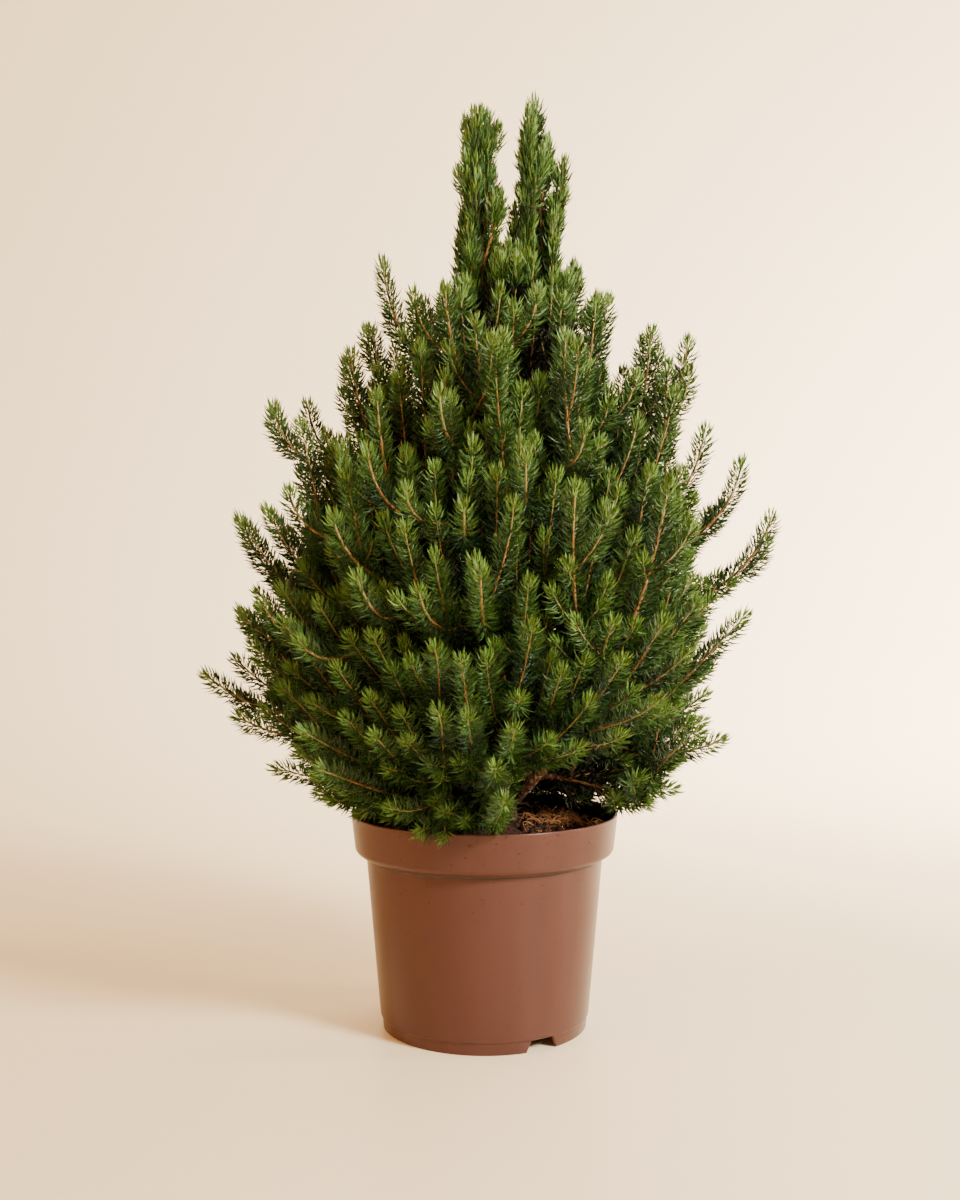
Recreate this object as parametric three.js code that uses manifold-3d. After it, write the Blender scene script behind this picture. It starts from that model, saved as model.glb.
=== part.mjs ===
// A dwarf conical spruce with two leaders, growing in a plain nursery pot.
//
// Units are millimetres, +Z is up, and the origin is the middle of the pot's flat underside. The pot is a
// turned shell, filled with compost. A single trunk stands in it and carries boughs on all sides, which
// sweep out and then turn up. Each bough ends in a mass of foliage: three-sided stems, forked and branched
// by a seeded rule, with needles that stand out of them.
import * as THREE from "three";
import { mergeVertices } from "three/addons/utils/BufferGeometryUtils.js";
import Module from "manifold-3d";

const wasm = await Module();
wasm.setup();

// ---------------------------------------------------------------- driving dimensions

const POT_HEIGHT = 151;
const RIM_RADIUS = 95;
const RIM_BAND = 27; // height of the straight band round the mouth
const BODY_TOP_RADIUS = 84.3;
const BODY_FOOT_RADIUS = 74.3;
const FOOT_RADIUS = 72.6;
const FOOT_HEIGHT = 8.5; // the floor is raised this far above the foot ring
const PAD_RADIUS = 44; // the flat middle of the underside
const WALL = 1.6;
const POT_SIDES = 40;
const NOTCHES = 3;
const NOTCH_AZIMUTH = -58;

const SOIL_EDGE = 139; // compost level at the wall
const SOIL_TOP = 145; // and at the trunk
const CLEAR = 0.3; // the gap that touching pieces keep

const TRUNK_FOOT_X = 13;
const TRUNK_TIP = [-3, 0, 478];
const TRUNK_BOW = 5; // how far the trunk leans out of its chord
const TRUNK_RADIUS = 8;
const TRUNK_TIP_RADIUS = 2.4;
const TRUNK_FLARE = 4.5; // extra radius where the trunk meets the compost
const FLARE_HEIGHT = 9;

const LEADER_FORK = 372; // height where the second leader leaves the trunk
const LEFT_TOP = [3, 2, 649];
const RIGHT_TOP = [36, 4, 661];
const LEADER_LIMB = 0.34; // share of the second leader that is bare limb

const NEEDLE = 15.5;
const NEEDLE_LEAN = 48; // degrees between a needle and its stem
const RING_GAP = 15.5; // length of stem between two whorls of needles
const BARE_GAP = 34; // and between two rings of a bare stem
const TIP_RADIUS = 1; // of a stem's wood at its tip
const STEM_TAPER = 0.01; // radius that a stem gains in a millimetre towards its foot
const BRUSH = 3; // extra radius of the core where it carries needles

// Each bough: its name, the share of it that is bare limb (0 for a mass that springs from the trunk), and
// the tips of its leads. A tip is its azimuth in degrees (0 is +X, 90 is +Y), its reach from the pot's axis
// and its height. The first tip ends the bough's own line, and the others fork off it. The order is that of
// the boughs' feet up the trunk.
const BOUGHS = [
  ["front_right", 0.32, [-47, 168, 375], [-70, 160, 372], [-60, 158, 290]],
  ["rim_left", 0.34, [-162, 104, 166], [171, 126, 170]],
  ["low_back", 0.34, [88, 122, 184], [112, 128, 200]],
  ["rim_right", 0.34, [-6, 121, 166], [16, 134, 184]],
  ["rim_front", 0.34, [-128, 110, 170], [-108, 106, 174]],
  ["low_front", 0.3, [-104, 120, 192], [-82, 124, 203]],
  ["low_right", 0.36, [0, 171, 202], [17, 152, 214]],
  ["low_left", 0.34, [-173, 175, 221], [180, 200, 249], [170, 188, 259]],
  ["skirt_back_right", 0.34, [44, 156, 226], [66, 142, 244]],
  ["skirt_front_left", 0.34, [-120, 124, 196], [-138, 150, 238]],
  ["skirt_back_left", 0.34, [142, 158, 222], [158, 178, 258]],
  ["skirt_front_right", 0.34, [-54, 158, 247], [-28, 146, 232]],
  ["back_low_fork", 0.32, [94, 150, 300], [74, 152, 322]],
  ["left_fork", 0.34, [177, 176, 289], [-177, 171, 356], [-150, 168, 300]],
  ["far_right", 0.34, [-1, 205, 362], [-22, 164, 304], [14, 162, 250]],
  ["front_low_fork", 0.3, [-91, 164, 321], [-104, 164, 309], [-82, 152, 245]],
  ["back_left", 0.32, [124, 154, 312], [146, 164, 340]],
  ["back_right", 0.32, [32, 164, 318], [52, 158, 346]],
  ["front_left_fork", 0.3, [-118, 166, 318], [-133, 170, 278], [-127, 158, 356]],
  ["right_spire", 0, [-2, 145, 487], [14, 122, 495]],
  ["high_right", 0, [3, 186, 402], [-14, 156, 420]],
  ["mid_back", 0, [104, 134, 396], [126, 128, 428]],
  ["mid_left", 0, [-146, 154, 374], [-120, 146, 397]],
  ["upper_left_fork", 0, [176, 128, 444], [-174, 149, 439], [164, 164, 366]],
  ["mid_back_right", 0, [62, 134, 408], [38, 138, 436]],
  ["mid_front", 0, [-95, 148, 361], [-109, 150, 371]],
  ["mid_front_right", 0, [-80, 144, 392], [-32, 152, 388]],
  ["left_spire", 0, [-168, 99, 470], [168, 84, 500]],
  ["high_front_right", 0, [-62, 134, 412], [-36, 124, 452]],
  ["back_spire", 0, [92, 80, 496], [64, 92, 486]],
  ["high_front", 0, [-103, 126, 433], [-84, 108, 472]],
  ["upper_left", 0, [-172, 73, 542], [138, 60, 525]],
  ["front_spire", 0, [-108, 84, 508], [-64, 80, 508]],
];
const LEFT_LEADER_TIPS = [
  [178, 13, 645],
  [-48, 17, 588],
  [-150, 14, 606],
  [95, 17, 602],
];
const RIGHT_LEADER_TIPS = [
  [12, 69, 541],
  [16, 88, 521],
  [1, 57, 616],
  [28, 25, 586],
];
const FIRST_FOOT = 6; // height of the lowest bough's foot above the compost
const FOOT_SPREAD = 272; // height over which the boughs' feet are spread

// Each bough also has an inner lead, which rises nearer to the trunk and fills the crown behind the others.
const INNER_REACH = 0.64; // its reach, as a share of the first tip's
const INNER_RISE = 0.36; // how far it rises from the first tip's height towards the crown's top
const INNER_TURN = 14; // its azimuth from the first tip's, to one side and the other by turns
const INNER_BELOW = 410; // boughs that end higher than this have none

const FORK_AIM = 0.8; // 0 for a fork that sets off along its bough, 1 for one that heads for its tip
const ROOT_TAPER = 0.3; // radius of a fork's or shoot's sunk root, as a share of what it has outside
const ROOT_LENGTH = 9;
const SHOOT_GAP = 80; // length of lead for each side shoot
const SHOOT_LENGTH = [44, 78];
const SHOOT_ANGLE = 46; // degrees between a side shoot and its lead
const TOP_GAP = 27; // the same three for the leaders, whose shoots are short and hug them
const TOP_LENGTH = [22, 39];
const TOP_ANGLE = 30;
const TURNS = [0, 1, -1, 2, -2, 3, -3]; // sideways turns that a line tries, to pass clear of others
const LIFTS = [0, 1, -1]; // and upward ones
const TURN_STEP = 12; // degrees in each
const LEVEL_TIPS = 165; // below this height shoots end level
const UPRIGHT_TIPS = 400; // and above this one almost upright
const SLIVER = 0.8; // finer detail than this, left where stems join, is smoothed away
const OWN_SPACE = 10; // the least distance between stems of different masses, over most of their length

// ---------------------------------------------------------------- small helpers

const RADIANS = Math.PI / 180;
const UP = new THREE.Vector3(0, 0, 1);

const lerp = THREE.MathUtils.lerp;

const vector = (x, y, z) => new THREE.Vector3(x, y, z);

// A repeatable stream of numbers from 0 to 1.
function stream(seed) {
  let state = seed >>> 0;
  return () => {
    state = (Math.imul(state, 1664525) + 1013904223) >>> 0;
    return state / 4294967296;
  };
}

// A point at an azimuth and a distance from the vertical through the origin.
function polar(azimuth, reach, height) {
  return vector(reach * Math.cos(azimuth * RADIANS), reach * Math.sin(azimuth * RADIANS), height);
}

// The direction with this azimuth that rises by so many degrees.
function heading(azimuth, rise) {
  return polar(azimuth, Math.cos(rise * RADIANS), Math.sin(rise * RADIANS));
}

// A closed three.js geometry as a manifold-3d solid.
function solidOf(geometry) {
  const bare = geometry.clone();
  bare.deleteAttribute("normal");
  bare.deleteAttribute("uv");
  const merged = mergeVertices(bare, 1e-4);
  const vertProperties = new Float32Array(merged.attributes.position.array);
  const triVerts = new Uint32Array(merged.index.array);
  return new wasm.Manifold(new wasm.Mesh({ numProp: 3, vertProperties, triVerts }));
}

function geometryOf(solid) {
  const mesh = solid.getMesh();
  const geometry = new THREE.BufferGeometry();
  geometry.setAttribute("position", new THREE.BufferAttribute(mesh.vertProperties, 3));
  geometry.setIndex(new THREE.BufferAttribute(mesh.triVerts, 1));
  return geometry.toNonIndexed();
}

// The largest single body of a solid, without the scraps that a cut can leave.
function largestOf(solid) {
  return solid.decompose().reduce((most, body) => (body.volume() > most.volume() ? body : most));
}

// A solid turned about Z from a profile of [radius, height] points that starts and ends on the axis.
function turned(profile, sides) {
  const points = profile.map(([radius, height]) => new THREE.Vector2(radius, height));
  return solidOf(new THREE.LatheGeometry(points, sides).rotateX(Math.PI / 2));
}

// ---------------------------------------------------------------- pot and compost

// The inside of the pot, from the middle of the floor to the lip, as [radius, height] points. The floor is
// dished down in the middle, where the pad stands on the ground.
function insideOfPot() {
  const floor = FOOT_HEIGHT + WALL;
  return [
    [0, WALL],
    [PAD_RADIUS - 1, WALL],
    [PAD_RADIUS + 2, floor],
    [BODY_FOOT_RADIUS - WALL, floor],
    [BODY_TOP_RADIUS - WALL, POT_HEIGHT - RIM_BAND - 2],
    [RIM_RADIUS - 3 - WALL, POT_HEIGHT - RIM_BAND + 1.4],
    [RIM_RADIUS - WALL, POT_HEIGHT],
  ];
}

function outsideOfPot() {
  return [
    [0, 0],
    [PAD_RADIUS, 0],
    [PAD_RADIUS + 3.5, FOOT_HEIGHT],
    [FOOT_RADIUS - 2.4, FOOT_HEIGHT],
    [FOOT_RADIUS - 2.2, 0],
    [FOOT_RADIUS, 0],
    [FOOT_RADIUS + 0.6, FOOT_HEIGHT],
    [BODY_FOOT_RADIUS, FOOT_HEIGHT + 0.8],
    [BODY_TOP_RADIUS, POT_HEIGHT - RIM_BAND - 3.8],
    [RIM_RADIUS - 7, POT_HEIGHT - RIM_BAND - 3],
    [RIM_RADIUS - 2.8, POT_HEIGHT - RIM_BAND],
    [RIM_RADIUS, POT_HEIGHT],
  ];
}

// The wedge that cuts one drain notch out of the foot ring, narrower at its top.
function notchCutter() {
  const outline = new THREE.Shape();
  const [top, bottom, below] = [8.5, 12, 1];
  outline.moveTo(-bottom, -below);
  outline.lineTo(bottom, -below);
  outline.lineTo(top, FOOT_HEIGHT);
  outline.lineTo(-top, FOOT_HEIGHT);
  outline.closePath();
  const depth = 12;
  const wedge = new THREE.ExtrudeGeometry(outline, { depth, bevelEnabled: false });
  return solidOf(wedge.rotateX(Math.PI / 2).translate(0, -FOOT_RADIUS + 8, 0));
}

function pot() {
  let shell = turned([...outsideOfPot(), ...insideOfPot().reverse()], POT_SIDES);
  for (let i = 0; i < NOTCHES; i++) {
    const turn = NOTCH_AZIMUTH + 90 + (360 / NOTCHES) * i;
    shell = shell.subtract(notchCutter().rotate([0, 0, turn]));
  }
  return geometryOf(shell);
}

// The compost fills the pot to a little under the mouth and heaps up towards the trunk.
function compost() {
  const filled = insideOfPot()
    .slice(1, 6)
    .map(([radius, height]) => [radius - CLEAR, height + CLEAR]);
  const top = [
    [RIM_RADIUS - 4 - WALL, SOIL_EDGE],
    [74, SOIL_EDGE + 1.5],
    [46, SOIL_TOP],
    [0, SOIL_TOP],
  ];
  return geometryOf(turned([[0, WALL + CLEAR], ...filled, ...top], POT_SIDES));
}

// ---------------------------------------------------------------- the lines of trunk, limbs and stems

// The trunk's line: a shallow bow from its foot to its tip.
function trunkPoint(height) {
  const foot = SOIL_TOP + CLEAR;
  const [tipX, tipY, tipZ] = TRUNK_TIP;
  const share = (height - foot) / (tipZ - foot);
  const bow = TRUNK_BOW * Math.sin(Math.PI * share);
  return vector(lerp(TRUNK_FOOT_X, tipX, share) + bow, tipY * share + bow / 2, height);
}

function trunkRadius(height) {
  const rise = height - SOIL_TOP - CLEAR;
  const share = rise / (TRUNK_TIP[2] - SOIL_TOP - CLEAR);
  const taper = lerp(TRUNK_RADIUS, TRUNK_TIP_RADIUS, share ** 0.8);
  return taper + TRUNK_FLARE * Math.exp(-rise / FLARE_HEIGHT);
}

// A level direction square to another, or +X where that one is upright.
function sideOf(along) {
  const side = new THREE.Vector3().crossVectors(along, UP);
  return side.length() < 0.05 ? vector(1, 0, 0) : side.normalize();
}

// A line that leaves one point in one direction and reaches another in another.
function sweep(from, setOff, to, arrive) {
  const span = from.distanceTo(to);
  const first = from.clone().addScaledVector(setOff, span * 0.38);
  const second = to.clone().addScaledVector(arrive, -span * 0.38);
  return new THREE.CubicBezierCurve3(from, first, second, to);
}

// How steeply shoots end at a height, in degrees: level at the skirt, almost upright at the top.
function riseAt(height) {
  return 84 * THREE.MathUtils.clamp((height - LEVEL_TIPS) / (UPRIGHT_TIPS - LEVEL_TIPS), 0, 1) ** 0.7;
}

// A line to a tip of a lead.
function sweepToTip(from, setOff, [azimuth, reach, height]) {
  return sweep(from, setOff, polar(azimuth, reach, height), heading(azimuth, riseAt(height)));
}

// A side shoot: it leaves its lead at an angle, rolled about it, and turns a little upwards.
function sideLine(line, share, roll, length, angle) {
  const from = line.getPointAt(share);
  const along = line.getTangentAt(share);
  const across = sideOf(along).applyAxisAngle(along, roll);
  const setOff = along.clone().multiplyScalar(Math.cos(angle * RADIANS));
  setOff.addScaledVector(across, Math.sin(angle * RADIANS)).normalize();
  const azimuth = Math.atan2(setOff.y, setOff.x) / RADIANS;
  const arrive = heading(azimuth, riseAt(from.z + length / 2));
  const to = from.clone().addScaledVector(setOff, length * 0.5).addScaledVector(arrive, length * 0.5);
  return sweep(from, setOff, to, arrive);
}

// ---------------------------------------------------------------- stems and needles

// A stem of a bough: a line, with the shares of its length where its wood and its needles start. The
// points along it are for measuring how near other stems and needles come.
function stem(owner, line, start, needlesFrom) {
  const length = line.getLength();
  const steps = Math.max(3, Math.ceil((length * (1 - start)) / 12));
  const points = Array.from({ length: steps + 1 }, (_, i) => line.getPointAt(lerp(start, 1, i / steps)));
  return { owner, line, start, needlesFrom, length, points };
}

// The radius of a stem's core. It swells where the needles start and narrows again to the tip.
function stemRadius(part, share) {
  const wood = TIP_RADIUS + STEM_TAPER * part.length * (1 - share);
  const along = (share - part.needlesFrom) * part.length;
  const left = (1 - share) * part.length;
  if (part.start === 0 && share === 0) return wood * ROOT_TAPER;
  return wood + BRUSH * THREE.MathUtils.clamp(along / 20, 0, 1) * THREE.MathUtils.clamp(left / 30, 0.35, 1);
}

// The shares of a stem where its rings lie, from foot to tip. The last is a little short of the tip.
function ringShares({ start, needlesFrom, length }) {
  const shares = [];
  let share = 1 - (0.8 * RING_GAP) / length;
  while (share > start + ROOT_LENGTH / length) {
    shares.unshift(share);
    share -= (share > needlesFrom ? RING_GAP : BARE_GAP) / length;
  }
  return [start, ...shares];
}

// How far a point is from a polyline.
function distanceTo(points, point) {
  let least = Infinity;
  const nearest = new THREE.Vector3();
  for (let i = 1; i < points.length; i++) {
    new THREE.Line3(points[i - 1], points[i]).closestPointToPoint(point, true, nearest);
    least = Math.min(least, nearest.distanceTo(point));
  }
  return least;
}

// Whether a point is in a bough's own space: nearer to its own stems than to any other's, clear of the
// trunk, and above the pot's mouth or outside it.
function inOwnSpace(point, owner, stems) {
  if (point.z < POT_HEIGHT + 2 && Math.hypot(point.x, point.y) < RIM_RADIUS + 2) return false;
  let [own, other] = [Infinity, Infinity];
  for (const part of stems) {
    const distance = distanceTo(part.points, point);
    if (part.owner === owner) own = Math.min(own, distance);
    else other = Math.min(other, distance);
  }
  return own + 2 < other && distanceTo(TRUNK_LINE, point) > TRUNK_RADIUS * 0.7 + 1.5;
}

const TRUNK_LINE = Array.from({ length: 12 }, (_, i) =>
  trunkPoint(lerp(SOIL_TOP + CLEAR, TRUNK_TIP[2], i / 11)),
);

// A three-sided stem. Each ring of three points is turned half a step on the last, so between two rings
// lie three triangles with their base below and three with it above. The first kind can carry a needle.
function stemSolid(part, stems) {
  const { line, needlesFrom } = part;
  const corners = [];
  const rings = ringShares(part).map((share, i) => {
    const middle = line.getPointAt(share);
    const along = line.getTangentAt(share);
    const side = sideOf(along);
    const ring = [0, 1, 2].map((k) => {
      const turn = (k * 2 + i) * (Math.PI / 3);
      const out = side.clone().applyAxisAngle(along, turn);
      corners.push(middle.clone().addScaledVector(out, stemRadius(part, share)));
      return corners.length - 1;
    });
    return { share, middle, along, ring };
  });
  const faces = [];
  const lean = NEEDLE_LEAN * RADIANS;
  for (let i = 1; i < rings.length; i++) {
    const [low, high] = [rings[i - 1], rings[i]];
    for (let k = 0; k < 3; k++) {
      const next = (k + 1) % 3;
      const base = [low.ring[k], low.ring[next], high.ring[k]];
      faces.push([low.ring[next], high.ring[next], high.ring[k]]);
      const root = new THREE.Vector3();
      base.forEach((corner) => root.addScaledVector(corners[corner], 1 / 3));
      const out = root.clone().sub(low.middle).projectOnPlane(low.along).normalize();
      const closing = lerp(1, 0.45, Math.max(0, (low.share - 0.8) / 0.2));
      const point = root.clone().addScaledVector(low.along, NEEDLE * Math.cos(lean * closing));
      point.addScaledVector(out, NEEDLE * Math.sin(lean * closing));
      const middle = root.clone().lerp(point, 0.5);
      const grows = low.share >= needlesFrom && [middle, point].every((p) => inOwnSpace(p, part.owner, stems));
      if (!grows) {
        faces.push(base);
        continue;
      }
      corners.push(point);
      const tip = corners.length - 1;
      faces.push([base[0], base[1], tip], [base[1], base[2], tip], [base[2], base[0], tip]);
    }
  }
  const [foot, head] = [rings[0].ring, rings.at(-1).ring];
  faces.push([foot[0], foot[2], foot[1]]);
  corners.push(line.getPointAt(1));
  const end = corners.length - 1;
  faces.push([head[0], head[1], end], [head[1], head[2], end], [head[2], head[0], end]);
  return solidOf(meshOf(corners, faces));
}

function meshOf(corners, faces) {
  const geometry = new THREE.BufferGeometry().setFromPoints(corners);
  geometry.setIndex(faces.flat());
  return geometry;
}

// A tapering limb with a round section, from its rings' middles, radii and directions.
function limbSolid(middles, radii, directions, sides) {
  const corners = [];
  const faces = [];
  middles.forEach((middle, i) => {
    const along = directions[i];
    const side = new THREE.Vector3().crossVectors(along, vector(0.02, 1, 0.01)).normalize();
    for (let k = 0; k < sides; k++) {
      const out = side.clone().applyAxisAngle(along, (k / sides) * 2 * Math.PI);
      corners.push(middle.clone().addScaledVector(out, radii[i]));
    }
  });
  for (let i = 1; i < middles.length; i++) {
    for (let k = 0; k < sides; k++) {
      const [a, b] = [(i - 1) * sides + k, (i - 1) * sides + ((k + 1) % sides)];
      faces.push([a, b, b + sides], [a, b + sides, a + sides]);
    }
  }
  const last = (middles.length - 1) * sides;
  for (let k = 1; k < sides - 1; k++) {
    faces.push([0, k + 1, k], [last, last + k, last + k + 1]);
  }
  return solidOf(meshOf(corners, faces));
}

// The trunk, or with swell above 0 the space that other wood keeps out of.
function trunkSolid(swell) {
  const foot = SOIL_TOP + CLEAR;
  const heights = [foot, foot + 5, foot + 14, foot + 30];
  const rings = 7;
  for (let i = 1; i <= rings; i++) heights.push(lerp(foot + 30, TRUNK_TIP[2], i / rings));
  const middles = heights.map((height) => trunkPoint(height));
  if (swell > 0) {
    middles[0].z -= swell;
    middles.at(-1).z += swell;
  }
  const radii = heights.map((height) => trunkRadius(height) + swell);
  return limbSolid(middles, radii, heights.map(() => UP), 10);
}

// The bare part of a bough, from inside the trunk to where its foliage starts, or with swell above 0 the
// space that other wood keeps out of.
function boughSolid(line, until, swell) {
  const shares = [0, 0.3, 0.65, 1].map((share) => share * until);
  const length = line.getLength();
  const radii = shares.map((share) => TIP_RADIUS + 0.6 + STEM_TAPER * 1.15 * length * (1 - share) + swell);
  const middles = shares.map((share) => line.getPointAt(share));
  return limbSolid(middles, radii, shares.map((share) => line.getTangentAt(share)), 6);
}

// ---------------------------------------------------------------- the plant

// The least room that a line has between itself and other boughs' stems, past its first stretch.
function roomAround(line, owner, stems) {
  const clearOfFoot = Math.min(0.4, 30 / line.getLength());
  const others = stems.filter((part) => part.owner !== owner);
  let room = Infinity;
  for (let i = 0; i <= 14; i++) {
    const point = line.getPointAt(lerp(clearOfFoot, 1, i / 14));
    others.forEach((part) => (room = Math.min(room, distanceTo(part.points, point))));
  }
  return room;
}

// The line to a tip that passes other boughs' stems by the least detour, or else with the most room.
function clearLine(from, [away, climb], tip, owner, stems) {
  const detours = LIFTS.flatMap((lift) => TURNS.map((turn) => [turn * TURN_STEP, lift * TURN_STEP]));
  detours.sort((a, b) => Math.hypot(...a) - Math.hypot(...b));
  const lines = detours.map(([turn, lift]) => sweepToTip(from, heading(away + turn, climb + lift), tip));
  const rooms = lines.map((line) => roomAround(line, owner, stems));
  const first = rooms.findIndex((room) => room > OWN_SPACE);
  const best = first < 0 ? rooms.indexOf(Math.max(...rooms)) : first;
  return { line: lines[best], room: rooms[best] };
}

// A bough's own line, from the trunk's middle to its first tip. It sets off lower than the tip lies.
function boughLine(name, foot, tip, stems) {
  const [azimuth, reach, height] = tip;
  const from = trunkPoint(foot);
  const to = polar(azimuth, reach, height);
  const away = Math.atan2(to.y - from.y, to.x - from.x) / RADIANS;
  const climb = Math.atan2(height - foot, reach) / RADIANS;
  return clearLine(from, [away, Math.max(8, climb - 16)], tip, name, stems).line;
}

// Adds a bough's limb and leads to the stems: its own line past the limb, and a fork for each further tip.
// A fork that has no room is left out.
function growLeads(bough, stems) {
  const { name, line, limb, forks } = bough;
  const length = line.getLength();
  if (limb > 0) {
    const points = Array.from({ length: 9 }, (_, i) => line.getPointAt((limb * i) / 8));
    stems.push({ owner: `${name}_bough`, points });
  }
  const needlesFrom = bough.top ? limb : Math.max(limb + 0.04, 0.36);
  bough.leads = [stem(name, line, limb > 0 ? limb + CLEAR / length : 0, needlesFrom)];
  forks.forEach((tip, i) => {
    const share = Math.max(limb + 0.04, 0.3) + 0.06 * i;
    const from = line.getPointAt(share);
    const chord = polar(...tip).sub(from).normalize();
    const aim = line.getTangentAt(share).lerp(chord, FORK_AIM).normalize();
    const setOff = [Math.atan2(aim.y, aim.x) / RADIANS, Math.asin(aim.z) / RADIANS];
    const fork = clearLine(from, setOff, tip, name, stems);
    if (fork.room > OWN_SPACE * 0.7) bough.leads.push(stem(name, fork.line, 0, 0.3));
  });
  stems.push(...bough.leads);
}

// The two leaders, which grow as boughs do: the left one carries on the trunk's line, and the right one
// forks off it.
function growLeaders(stems) {
  const trunkTop = vector(...TRUNK_TIP);
  trunkTop.z += CLEAR;
  const left = sweep(trunkTop, UP, vector(...LEFT_TOP), UP);
  const right = sweep(trunkPoint(LEADER_FORK), heading(10, 66), vector(...RIGHT_TOP), heading(180, 87));
  const leaders = [
    { name: "left_leader", limb: 0, forks: LEFT_LEADER_TIPS, line: left, top: true },
    { name: "right_leader", limb: LEADER_LIMB, forks: RIGHT_LEADER_TIPS, line: right, top: true },
  ];
  leaders.forEach((leader) => growLeads(leader, stems));
  return leaders;
}

// The boughs from the lowest to the highest, each clear of those before it.
function growBoughs(stems) {
  return BOUGHS.map(([name, limb, first, ...forks], i) => {
    const foot = SOIL_TOP + FIRST_FOOT + (FOOT_SPREAD * i) / (BOUGHS.length - 1);
    const [azimuth, reach, height] = first;
    const turn = i % 2 ? INNER_TURN : -INNER_TURN;
    const inner = [azimuth + turn, reach * INNER_REACH, lerp(height, LEFT_TOP[2], INNER_RISE)];
    const line = boughLine(name, foot, first, stems);
    if (height < INNER_BELOW) forks.push(inner);
    const bough = { name, limb, forks, line };
    growLeads(bough, stems);
    return bough;
  });
}

// Side shoots by the seeded rule. One that would come too near another mass's stems is left out.
function growShoots(bough, seed, stems) {
  const random = stream(seed);
  const [gap, lengths, angle] = bough.top
    ? [TOP_GAP, TOP_LENGTH, TOP_ANGLE]
    : [SHOOT_GAP, SHOOT_LENGTH, SHOOT_ANGLE];
  bough.shoots = [];
  bough.leads.forEach((lead) => {
    const stretch = lead.length * (1 - lead.needlesFrom);
    const count = Math.round(stretch / gap);
    for (let i = 0; i < count; i++) {
      const share = lerp(lead.needlesFrom, 0.88, (i + 0.3 + 0.4 * random()) / count);
      const roll = i * 2.4 + random() * 0.9;
      const length = lerp(...lengths, random()) * (1.1 - 0.5 * share);
      const shoot = stem(bough.name, sideLine(lead.line, share, roll, length, angle), 0, 0.22);
      const low = shoot.points.some((p) => p.z < POT_HEIGHT + 9 && Math.hypot(p.x, p.y) < RIM_RADIUS + 9);
      if (low || roomAround(shoot.line, bough.name, stems) < OWN_SPACE) continue;
      bough.shoots.push(shoot);
      stems.push(shoot);
    }
  });
}

const FINISHES = {
  pot: { color: "#9a5a41", roughness: 0.45, metalness: 0 },
  compost: { color: "#33241b", roughness: 1, metalness: 0 },
  bark: { color: "#7d5738", roughness: 0.9, metalness: 0 },
  foliage: { color: "#3f6b2c", roughness: 0.6, metalness: 0 },
};

function part(name, geometry, finish) {
  const mesh = new THREE.Mesh(geometry, new THREE.MeshStandardMaterial(FINISHES[finish]));
  mesh.name = name;
  return mesh;
}

function plant() {
  const group = new THREE.Group();
  group.add(part("pot", pot(), "pot"));
  group.add(part("compost", compost(), "compost"));
  group.add(part("trunk", geometryOf(trunkSolid(0)), "bark"));

  const stems = [];
  const boughs = [...growLeaders(stems), ...growBoughs(stems)];
  boughs.forEach((bough, i) => growShoots(bough, 101 + 7 * i, stems));
  const leader = boughs.find((bough) => bough.name === "right_leader");
  const trunkSpace = trunkSolid(CLEAR);
  const keepOut = trunkSpace.add(boughSolid(leader.line, leader.limb, CLEAR));
  boughs.forEach((bough) => {
    if (bough.limb === 0) return;
    const wood = boughSolid(bough.line, bough.limb, 0).subtract(bough === leader ? trunkSpace : keepOut);
    group.add(part(`${bough.name}_bough`, geometryOf(largestOf(wood)), "bark"));
  });
  boughs.forEach((bough) => {
    const solids = [...bough.leads, ...bough.shoots].map((shoot) => stemSolid(shoot, stems));
    let mass = solids.reduce((all, solid) => all.add(solid));
    if (bough !== leader) mass = mass.subtract(keepOut);
    mass = largestOf(mass.simplify(SLIVER));
    group.add(part(`${bough.name}_foliage`, geometryOf(mass), "foliage"));
  });
  return group;
}

export default plant();
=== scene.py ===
"""A dwarf conical spruce with two leaders, growing in a brown nursery pot, on a pale studio sweep.

Blender works in metres. The sizes of the pot and of the plant are millimetres, which MM turns to metres.
"""

from math import asin, atan2, cos, degrees, hypot, pi, radians, sin

import bmesh
import bpy
import numpy as np
from mathutils import Euler, Matrix, Vector, noise


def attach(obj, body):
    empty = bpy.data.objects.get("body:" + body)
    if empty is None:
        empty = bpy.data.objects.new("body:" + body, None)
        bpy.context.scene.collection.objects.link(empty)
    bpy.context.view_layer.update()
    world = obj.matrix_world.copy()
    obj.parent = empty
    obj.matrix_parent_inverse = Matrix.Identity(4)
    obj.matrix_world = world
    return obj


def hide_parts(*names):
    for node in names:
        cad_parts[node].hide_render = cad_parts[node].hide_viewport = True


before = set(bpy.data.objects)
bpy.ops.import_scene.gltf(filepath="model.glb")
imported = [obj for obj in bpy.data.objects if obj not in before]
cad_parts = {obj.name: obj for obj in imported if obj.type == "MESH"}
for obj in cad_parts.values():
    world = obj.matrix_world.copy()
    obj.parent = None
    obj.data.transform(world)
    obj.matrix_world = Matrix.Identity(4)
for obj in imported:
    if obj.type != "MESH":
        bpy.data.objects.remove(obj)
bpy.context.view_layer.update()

# ---------------------------------------------------------------- studio sweep
# A round paper sweep: a flat floor that curves up into a wall on every side, so no edge of it shows.
# It is matt cream paper with a faint gloss, which gives the pot a weak reflection at its foot.

SWEEP_FLAT = 1.2
SWEEP_BEND = 2.4
SWEEP_TOP = 3.4


def linear(colour):
    """The linear RGBA of an sRGB hex colour."""
    channels = [int(colour[i : i + 2], 16) / 255 for i in (1, 3, 5)]
    return [c / 12.92 if c <= 0.04045 else ((c + 0.055) / 1.055) ** 2.4 for c in channels] + [1]


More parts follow.
